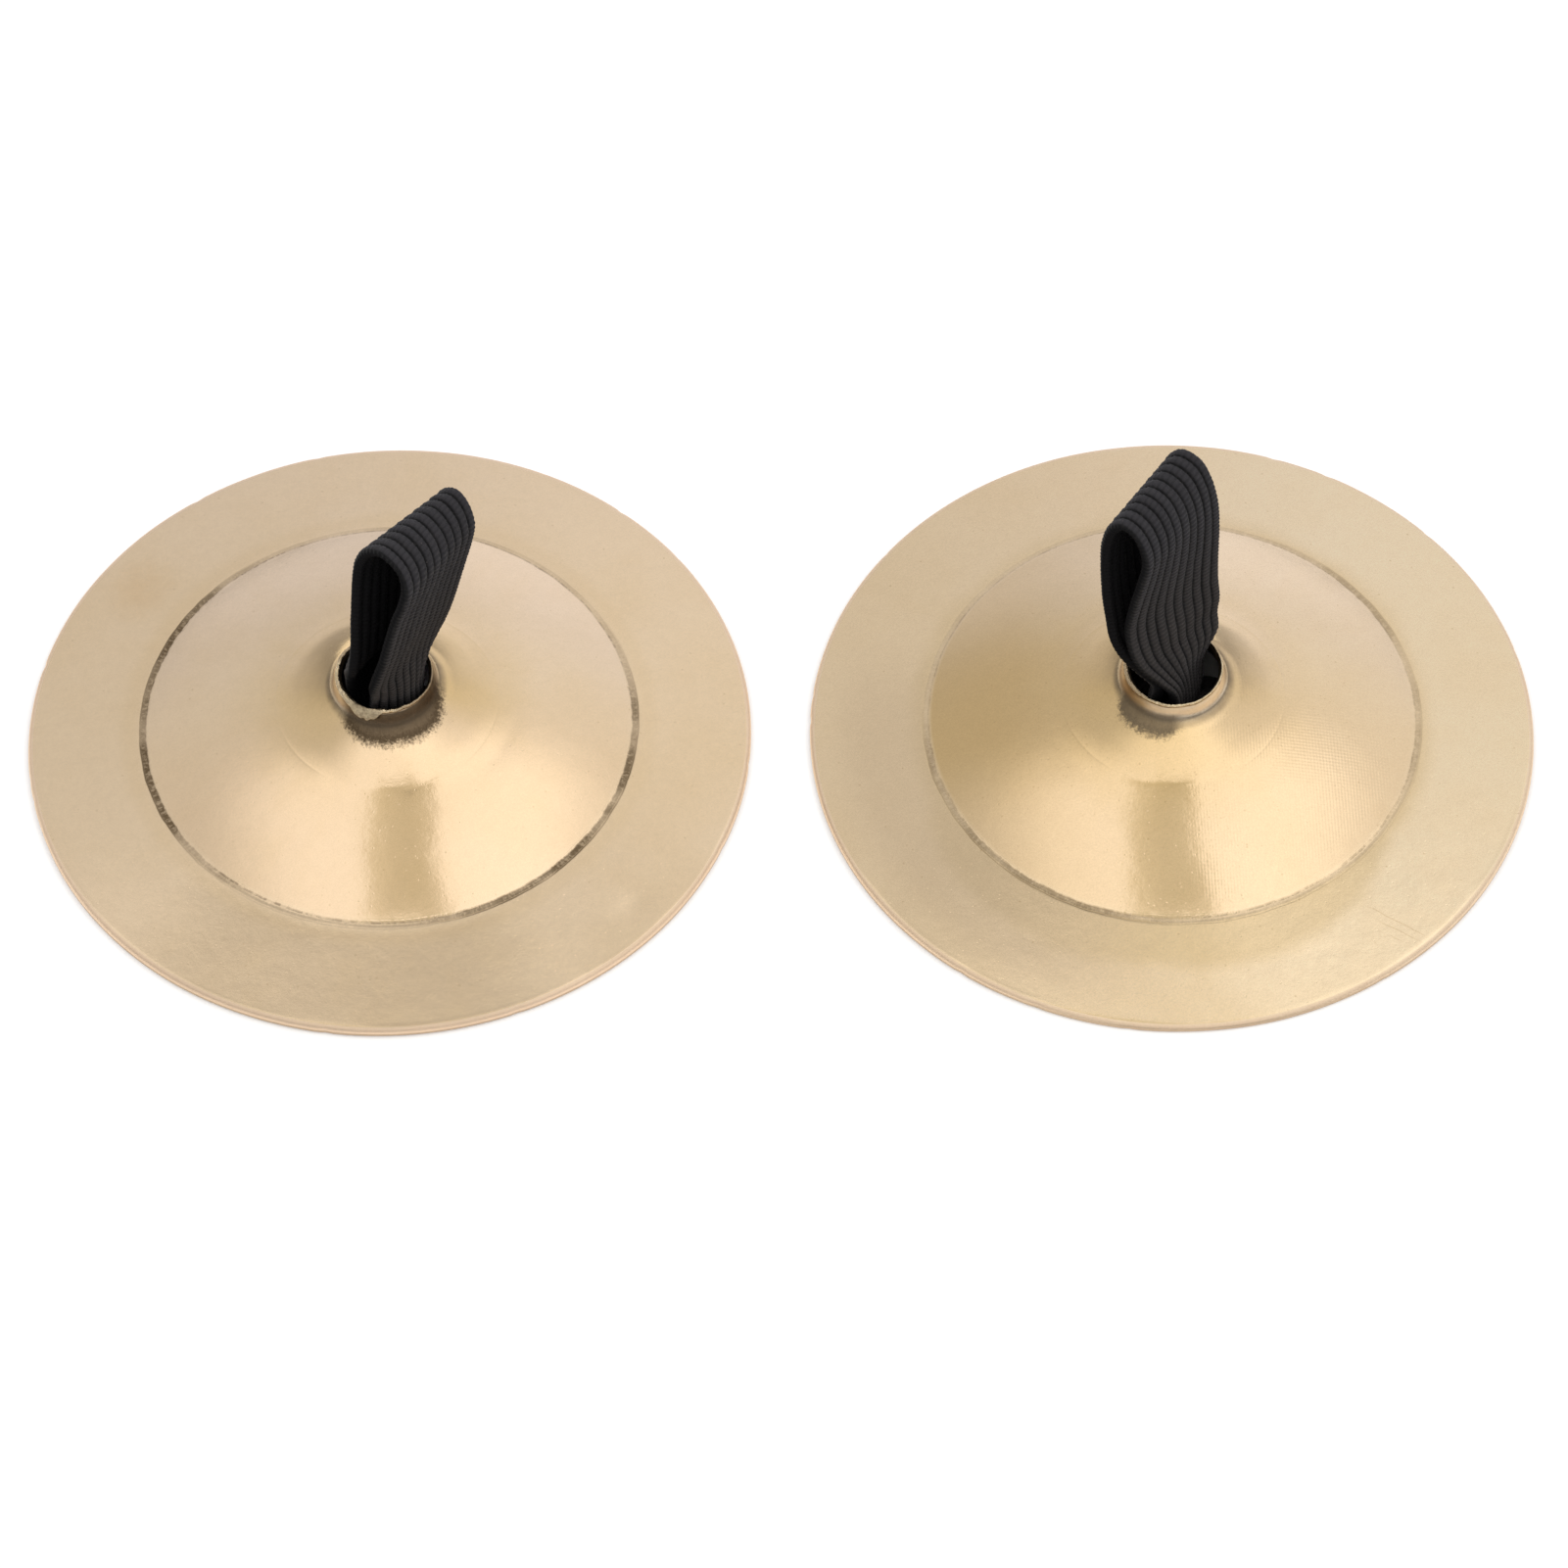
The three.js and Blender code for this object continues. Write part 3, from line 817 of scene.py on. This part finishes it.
    def dots_and_scratches(self):
        """Fine dark dots on the boss, and three light scratches across the flange."""
        co, x, y = self.co, self.x, self.y
        dots = co.cells(scale=2.6).ramp(over=(0.22, 0.08))
        patches = co.noise(scale=0.9).ramp(over=(0.50, 0.60))
        dots = dots * (patches * self.rad.ramp(over=(20.0, 15.0)))
        col = dots.tint(self.col, BROWN, share=0.30)
        along = x * 0.89 - y * 0.455
        across = x * 0.455 + y * 0.89
        # (place across, start and end along)
        for offset, start, end in ((-10.1, 22.8, 29.4), (-10.9, 24.2, 29.2), (-11.7, 25.8, 27.9)):
            wavy = across + (co.noise(scale=0.4, detail=1.0) - 0.5) * 0.5
            ends = along.ramp(over=(start, start + 1.5)) * along.ramp(over=(end, end - 1.5))
            scratch = wavy.peak(at=offset, width=0.10) * ends
            col = scratch.tint(col, BROWN, share=0.30)
        self.col = col

    def crease_band(self):
        """A dark band in the crease, partly residue and partly painted shade: two rails with
        rungs between them.
        """
        arc = self.arc
        rad = self.rad + (self.co.noise(scale=0.45, detail=3.0) - 0.5) * 0.22
        self.rungs = arc.noise(scale=3.4, detail=2.0, rough=0.7)
        if self.left:
            strong = self.bearing(at=180, half=30, soft=32)
            strong = strong.max(self.bearing(at=-28, half=30, soft=34))
            strength = strong.mad(by=0.34, plus=0.66)
            fill = dict(by=0.6, plus=0.4)
            dark = rgb(0.150, 0.098, 0.050)
        else:
            strong = self.bearing(at=225, half=24, soft=30)
            strong = strong.max(self.bearing(at=20, half=14, soft=40) * 0.7)
            strength = strong.mad(by=0.24, plus=0.50)
            fill = dict(by=0.45, plus=0.55)
            dark = rgb(0.25, 0.170, 0.085)
        broken = arc.noise(scale=1.5, detail=3.0, rough=0.75)
        broken = broken.ramp(over=(0.40, 0.58), to=(0.45, 1.0))
        inner = rad.peak(at=21.20, width=0.19) * broken
        outer = rad.peak(at=21.68, width=0.16) * strong
        between = abs(rad - 21.40).ramp(over=(0.30, 0.20)) * strong.mad(**fill)
        self.rails = inner.max(outer)
        steps = between * self.rungs.ramp(over=(0.32, 0.58), to=(0.60, 0.95))
        ladder = steps.max(self.rails * 0.95)
        whole = abs(rad - 21.40).ramp(over=(0.48, 0.34))
        patchy = self.co.noise(scale=0.22, detail=3.0).ramp(over=(0.30, 0.62))
        self.crease = whole * self.upper * (strength * patchy.mad(by=0.5, plus=0.5))
        # residue and painted shade: the crease's dark ladder darkens the colour
        self.crease_dirt_and_shade = self.crease * ladder
        self.col = self.crease_dirt_and_shade.tint(self.col, dark)

    def neck(self):
        """The neck's wall with its painted reflection, a painted dark reflection at its foot, and
        a darker band at its root.
        """
        rad, z, upper = self.rad, self.z, self.upper
        self.hatching = self.hatch.noise(scale=2.6, detail=4.0, rough=0.75)
        speck = self.co.noise(scale=4.6, detail=3.0, rough=0.75) - 0.5
        if self.left:
            reach = self.bearing(at=284, half=18, soft=56).mad(by=1.35, plus=4.75)
            window = self.bearing(at=292, half=58, soft=24)
            foot_top = z.ramp(over=(9.72, 9.50))
            foot_dark_reflection = rgb(0.078, 0.051, 0.028)
            wall_toward_viewer = self.bearing(at=262, half=45, soft=40)
            wall_reflection_col = wall_toward_viewer.tint(rgb(0.33, 0.26, 0.17), rgb(0.60, 0.50, 0.37))
        else:
            reach = self.bearing(at=240, half=10, soft=36).mad(by=1.30, plus=4.70)
            window = self.bearing(at=238, half=26, soft=20)
            foot_top = z.ramp(over=(9.0, 8.4))
            foot_dark_reflection = rgb(0.185, 0.138, 0.086)
            wall_toward_viewer = self.bearing(at=298, half=42, soft=30)
            wall_reflection_col = wall_toward_viewer.tint(rgb(0.40, 0.31, 0.20), rgb(0.93, 0.82, 0.66))
        reach = reach + ((self.hatching - 0.5) * 0.9 + speck * 1.5)
        beyond = rad - reach
        # painted reflection: a dark patch in the cove at the neck's foot stands in for dark
        # things mirrored there
        self.foot = beyond.ramp(over=(0.42, -0.42)) * window * (foot_top * upper)
        # painted reflection: the wall is less yellow than the boss, lighter towards the viewer,
        # and darker and browner away from the front
        self.wall = z.ramp(over=(7.9, 8.5)) * z.ramp(over=(9.75, 9.55)) * upper
        col = self.wall.tint(self.col, wall_reflection_col, share=0.85)
        depth = beyond.ramp(over=(-1.1, -0.2)).mad(by=0.10, plus=0.88)
        col = self.foot.tint(col, foot_dark_reflection, share=depth)
        root = rad.ramp(over=(5.45, 4.95)) * z.ramp(over=(8.85, 8.35))
        root = root * upper * self.hatch.noise(scale=1.3).mad(by=0.7, plus=0.35)
        self.col = (root * (1.0 - self.foot)).tint(col, rgb(0.27, 0.20, 0.125), share=0.70)

    def lip_edge(self):
        raised = self.part.ramp(over=(3.9, 4.0))
        self.lip = raised * self.rad.ramp(over=(5.9, 5.6)) * self.upper
        # painted highlight and shade: the lip is lit over a range of bearings, darker elsewhere,
        # and patchy with the crumple
        if self.left:
            lip_lit = self.bearing(at=225, half=50, soft=25).mad(by=0.60, plus=0.15)
        else:
            lip_lit = self.bearing(at=305, half=52, soft=32).mad(by=0.68, plus=0.17)
        crumple = self.co.noise(scale=1.9, detail=4.0, rough=0.75).ramp(over=(0.38, 0.60))
        lip_lit = lip_lit * crumple.mad(by=0.6, plus=0.4)
        lip_light_and_shade = lip_lit.tint(rgb(0.40, 0.30, 0.19), rgb(1.0, 0.83, 0.55))
        col = self.lip.tint(self.col, lip_light_and_shade, share=0.80)
        nicks = self.hatch.noise(scale=6.5, detail=2.0, rough=0.7).ramp(over=(0.60, 0.72))
        self.col = (self.lip * nicks).tint(col, BROWN, share=0.60)

    def rim_and_inside(self):
        """A pinker rim with a side darkened by painted shade, and a dull inside with painted
        shade deep in the neck.
        """
        rad, upper = self.rad, self.upper
        self.rim = rad.ramp(over=(31.0, 31.25)) * upper
        col = self.rim.tint(self.col, rgb(1.0, 0.78, 0.60), share=0.55)
        # painted shade on the rim's side
        rim_side_shade = self.z.ramp(over=(0.50, 0.34)) * rad.ramp(over=(31.1, 31.3)) * upper
        col = rim_side_shade.tint(col, rgb(0.42, 0.31, 0.20), share=0.55)
        self.inside = self.part.ramp(over=(4.6, 5.2))
        col = self.inside.tint(col, BROWN, share=0.45)
        # painted shade deep in the neck's bore
        bore_shade = self.inside * rad.ramp(over=(5.6, 4.6))
        self.col = bore_shade.tint(col, rgb(0.03, 0.024, 0.018), share=0.90)

    def roughness(self):
        """Satin with clouds, and rougher by these amounts in the marked places."""
        rough = self.co.noise(scale=0.35, detail=4.0, rough=0.6).mad(by=0.08, plus=0.085)
        flange = self.rad.ramp(over=(20.9, 21.8))
        for mask, amount in (
            (flange, 0.06), (self.rim, 0.38), (self.foot, 0.16), (self.crease_dirt_and_shade, 0.14),
            (self.lip, 0.05), (self.wall, 0.20), (self.inside, 0.22),
        ):
            rough = rough + mask * amount
        return rough

    def relief(self):
        co = self.co
        dents = co.noise(scale=0.35)
        peel = co.noise(scale=2.2, detail=3.0, rough=0.65)
        brushing = self.arc.noise(scale=1.3, detail=3.0, rough=0.7)
        pits = co.cells(scale=1.4).ramp(over=(0.16, 0.0)) * -1.0
        ladder = self.rails.max(self.rungs * 0.8) * (self.crease * -1.0)
        crumple = co.noise(scale=2.4, detail=3.0, rough=0.7) * self.lip
        # (height, strength, distance in metres)
        layers = [
            (dents, 0.18, 0.00010), (peel, 0.30, 0.000016), (brushing, 0.20, 0.00001),
            (pits, 0.25, 0.00002), (ladder, 0.6, 0.00004),
            (self.hatching * self.foot, 0.6, 0.00008), (crumple, 0.8, 0.00018),
        ]
        if not self.left:
            layers.append((self.cross_hatching(), 0.45, 0.000009))
        normal = None
        for height, strength, distance in layers:
            normal = height.bump(strength, distance, under=normal)
        return normal

    def cross_hatching(self):
        """Fine crossed waves on the front right of the boss."""
        x, y, per_mm = self.x, self.y, 11.5
        rising = ((x + y * 0.9) * per_mm).math("SINE")
        falling = ((x - y * 0.8) * per_mm).math("SINE")
        front_right = x.ramp(over=(0.0, 7.0)) * y.ramp(over=(4.0, -6.0))
        zone = self.rad.ramp(over=(21.0, 19.0)) * front_right
        return rising * falling * self.co.noise(scale=0.5).mad(by=0.8, plus=0.3) * zone


# ---------------------------------------------------------------- elastic
def elastic_material():
    """Corded black elastic: yarn-wrapped cords, with painted shade in the grooves between them
    and on the face turned into the loop.
    """
    material, bsdf = principled("corded_elastic")
    tree = material.node_tree
    along, cord, ridge = (mesh_value(tree, name) for name in ("along", "cord", "ridge"))
    co = coords(tree).vector("MULTIPLY", (1000.0, 1000.0, 1000.0))
    high = co.split()[2].ramp(over=(14.0, 26.0))
    face = high.tint(rgb(0.0440, 0.0380, 0.0360), rgb(0.0370, 0.0345, 0.0385))
    # painted shade: the grooves between the cords are darkened
    col = ridge.ramp(over=(0.62, 0.97)).tint(rgb(0.0030, 0.0029, 0.0032), face)
    # each cord has its own tone, and flecks and lint lighten it here and there
    cord_index = {"W": cord.math("FLOOR")}
    tone = cord.node("ShaderNodeTexWhiteNoise", cord_index, "Value", noise_dimensions="1D")
    col = tone.tint(col, rgb(0.008, 0.0075, 0.008), share=0.22)
    flecks = co.noise(scale=3.2, detail=3.0, rough=0.65).ramp(over=(0.42, 0.80))
    col = flecks.tint(col, rgb(0.045, 0.040, 0.040), share=0.45)
    lint = co.cells(scale=1.3).ramp(over=(0.10, 0.03))
    lint = lint * co.noise(scale=0.9, detail=1.0).ramp(over=(0.55, 0.60))
    col = lint.tint(col, rgb(0.16, 0.13, 0.12), share=0.5)
    # painted shade: the face turned into the loop is darkened, and its specular and sheen are cut
    # below
    col = mesh_value(tree, "within").tint(col, rgb(0.0105, 0.0102, 0.0108), share=0.93)
    # wefts alternate from cord to cord
    odd = cord.math("FLOOR").math("MODULO", 2.0) * math.pi
    weft = (along * (2 * math.pi / WEFT_PITCH) + odd).math("SINE")
    col = weft.ramp(over=(0.1, -0.9)).tint(col, rgb(0.004, 0.004, 0.0045), share=0.30)
    yarns_per_cord = 3
    yarn = (cord * (2 * math.pi * yarns_per_cord)).math("SINE")
    height = weft * 0.6 + yarn * 0.30 + co.noise(scale=6.0) * 1.0
    set_inputs(bsdf, {
        "Base Color": col,
        "Roughness": 0.80,
        "Specular IOR Level": mesh_value(tree, "within").mad(by=-0.17, plus=0.22),
        "Sheen Weight": mesh_value(tree, "within").mad(by=-0.05, plus=0.05),
        "Sheen Roughness": 0.5,
        "Normal": height.bump(strength=0.50, distance=0.00005),
    })
    return material


# ---------------------------------------------------------------- build the pair
def plate_centre(side):
    low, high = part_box(f"{side}_cymbal_plate")
    return Vector(((low.x + high.x) / 2, (low.y + high.y) / 2, 0))


def place_strap(ob, matrix, elastic, *pieces):
    """Moves a strap piece from its left-handed axes, which turn it inside out, and dresses it."""
    ob.data.transform(matrix)
    ob.data.flip_normals()
    ob.data.update()
    ob.data.materials.append(elastic)
    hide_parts(*pieces)


def build_cymbal(side, elastic):
    centre = plate_centre(side)
    disc = plate(side, centre)
    disc.data.materials.append(Brass(side).material)
    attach(disc, f"{side}_plate")
    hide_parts(f"{side}_cymbal_plate")

    matrix = strap_matrix(side, centre)
    loop = band(loop_rows(side), f"{side}_strap_loop", LOOP_STEP, LOOP_T)
    place_strap(loop, matrix, elastic, f"{side}_finger_loop", f"{side}_strap_legs")
    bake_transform(loop)

    tied = knot(f"{side}_strap_knot_tied")
    place_strap(tied, matrix, elastic, f"{side}_strap_knot")
    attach(tied, f"{side}_knot")

    for letter, sign in (("a", -1), ("b", 1)):
        piece = tail(f"{side}_tail_{letter}", sign)
        place_strap(piece, matrix, elastic, f"{side}_strap_tail_{letter}")
        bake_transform(piece)


# ---------------------------------------------------------------- stage, light, camera
def build_floor():
    """A pale floor that glows a little; the glow is left out under the plates as a painted
    contact shadow.
    """
    bpy.ops.mesh.primitive_plane_add(size=6.0, location=(0, 0, -0.00002))
    floor = bpy.context.object
    floor.name = "floor"
    material = bpy.data.materials.new("floor")
    tree = empty_tree(material)
    out = make_node(tree, "ShaderNodeOutputMaterial")
    diffuse = make_node(tree, "ShaderNodeBsdfDiffuse", {"Color": rgb(0.86, 0.86, 0.86)})
    x, y, _ = coords(tree).split()
    # painted contact shadow: the glow is left out under each plate
    unshadowed_floor = 1.0
    for side in SIDES:
        centre = plate_centre(side)
        from_x, from_y = x - centre.x, y - centre.y
        distance = (from_x * from_x + from_y * from_y).math("SQRT")
        unshadowed_floor = unshadowed_floor * distance.ramp(over=(0.0290, 0.0315))
    glow = {"Color": rgb(1, 1, 1), "Strength": unshadowed_floor * 0.22}
    emission = make_node(tree, "ShaderNodeEmission", glow)
    both = make_node(tree, "ShaderNodeAddShader")
    tree.links.new(diffuse.outputs[0], both.inputs[0])
    tree.links.new(emission.outputs[0], both.inputs[1])
    tree.links.new(both.outputs[0], out.inputs[0])
    floor.data.materials.append(material)


def build_world():
    """A pale tent for the reflections; the camera itself sees white."""
    world = bpy.data.worlds.new("studio")
    bpy.context.scene.world = world
    tree = empty_tree(world)
    out = make_node(tree, "ShaderNodeOutputWorld")
    background = make_node(tree, "ShaderNodeBackground")
    tree.links.new(background.outputs[0], out.inputs[0])
    x, y, z = coords(tree, "Generated").split()
    # degrees from straight up: lateral + to the right, depth + away from the viewer
    degrees = 180 / math.pi
    lateral = x.math("ARCTAN2", z) * degrees
    depth = y.math("ARCTAN2", z) * degrees
    # a little brighter to the right, dimmer towards both sides
    tent = lateral.ramp(over=(-25.0, 25.0), to=(0.615, 0.765))
    tent = tent * abs(lateral).ramp(over=(48.0, 80.0), to=(1.0, 0.50))
    # lit more strongly overhead
    wide = abs(lateral - 3.0).ramp(over=(19.0, 42.0), to=(1.0, 0.0))
    back_edge = depth + lateral.ramp(over=(-25.0, 5.0), to=(4.0, 0.0))
    back_edge = back_edge.ramp(over=(19.0, 39.0), to=(1.0, 0.0))
    front_edge = depth.ramp(over=(-44.0, -16.0), to=(0.55, 1.0))
    overhead = wide * (back_edge * front_edge)
    # a round shade hangs where a level plate would reflect
    level = y * SIGHT_LEVEL + z * SIGHT_DROP
    shade_edge = [math.cos(math.radians(angle)) for angle in (19.3, 17.0)]
    shade = level.ramp(over=shade_edge)
    overhead = overhead * (1.0 - shade)
    # the camera's opening is a darker slot in the middle, its right edge slanting forwards
    forward = (3.0 - depth).max(0.0)
    slanted = lateral - forward * 0.28
    slot = lateral.ramp(over=(-7.0, -5.2)) * slanted.ramp(over=(6.6, 5.0))
    slot_back = depth.ramp(over=(13.6, 15.4), to=(1.0, 0.0))
    slot = slot * (slot_back * depth.ramp(over=(-11.8, -10.0)))
    dark = slot * lateral.ramp(over=(-5.5, 0.0), to=(0.32, 0.44))
    light = overhead.mad(by=0.37, plus=tent)
    light = light * (1.0 - dark)
    nearer = shade * depth.ramp(over=(31.0, 23.0))
    light = light * nearer.mad(by=-0.17, plus=1.0)
    light = light * depth.ramp(over=(58.0, 74.0), to=(1.0, 1.10))
    # the room behind the camera is dimmer
    behind = y.ramp(over=(-0.55, -0.80))
    light = light * behind.mad(by=-0.40, plus=1.0)
    # cooler from the back, warmer in the slot: changes to red, green and blue
    cool = depth.ramp(over=(38.0, 75.0))
    channels = {}
    for i, (by_cool, by_slot) in enumerate(((-0.02, 0.0), (0.0, -0.04), (0.13, -0.20))):
        channels[i] = light * cool.mad(by=by_cool, plus=slot.mad(by=by_slot, plus=1.0))
    colour = light.node("ShaderNodeCombineColor", channels)
    camera_ray = Field(make_node(tree, "ShaderNodeLightPath").outputs["Is Camera Ray"])
    colour = camera_ray.tint(colour, rgb(1, 1, 1))
    set_inputs(background, {"Color": colour, "Strength": 1.0})


def build_lights():
    """Two overhead soft lights model the cloth and the floor, and stay out of the brass."""
    depth, height = 0.05, 1.2
    for name, x, power in (("softbox_left", -0.50, 2.6), ("softbox_right", 0.55, 3.4)):
        light = bpy.data.lights.new(name, "AREA")
        light.shape = "RECTANGLE"
        light.size, light.size_y = 0.8, 0.9
        light.energy = power
        box = bpy.data.objects.new(name, light)
        box.location = (x, depth, height)
        bpy.context.scene.collection.objects.link(box)
        box.rotation_euler = (0, math.atan2(x, height), 0)
        box.visible_glossy = False


def build_camera():
    place = (0.0053193, -0.4389028, 0.59776)
    pitch, roll, yaw = (math.radians(angle) for angle in (54.0333, -0.89043, 0.665))
    back = Vector((0, -math.cos(pitch), math.sin(pitch)))
    right, up = Vector((1, 0, 0)), Vector((0, math.sin(pitch), math.cos(pitch)))
    rolled_right = right * math.cos(roll) + up * math.sin(roll)
    rolled_up = -right * math.sin(roll) + up * math.cos(roll)
    turn = Matrix.Rotation(yaw, 3, "Z")
    axes = [turn @ axis for axis in (rolled_right, rolled_up, back)]
    data = bpy.data.cameras.new("camera")
    camera = bpy.data.objects.new("camera", data)
    bpy.context.scene.collection.objects.link(camera)
    rows = [(*(axis[i] for axis in axes), place[i]) for i in range(3)]
    camera.matrix_world = Matrix((*rows, (0, 0, 0, 1)))
    data.sensor_width = 36.0
    data.lens = 195.30
    data.clip_start, data.clip_end = 0.05, 20.0
    bpy.context.scene.camera = camera


elastic = elastic_material()
for side in SIDES:
    build_cymbal(side, elastic)
build_floor()
build_world()
build_lights()
build_camera()

view = bpy.context.scene.view_settings
view.view_transform = "Standard"
view.look = "None"
view.exposure = 0.0
view.gamma = 1.0
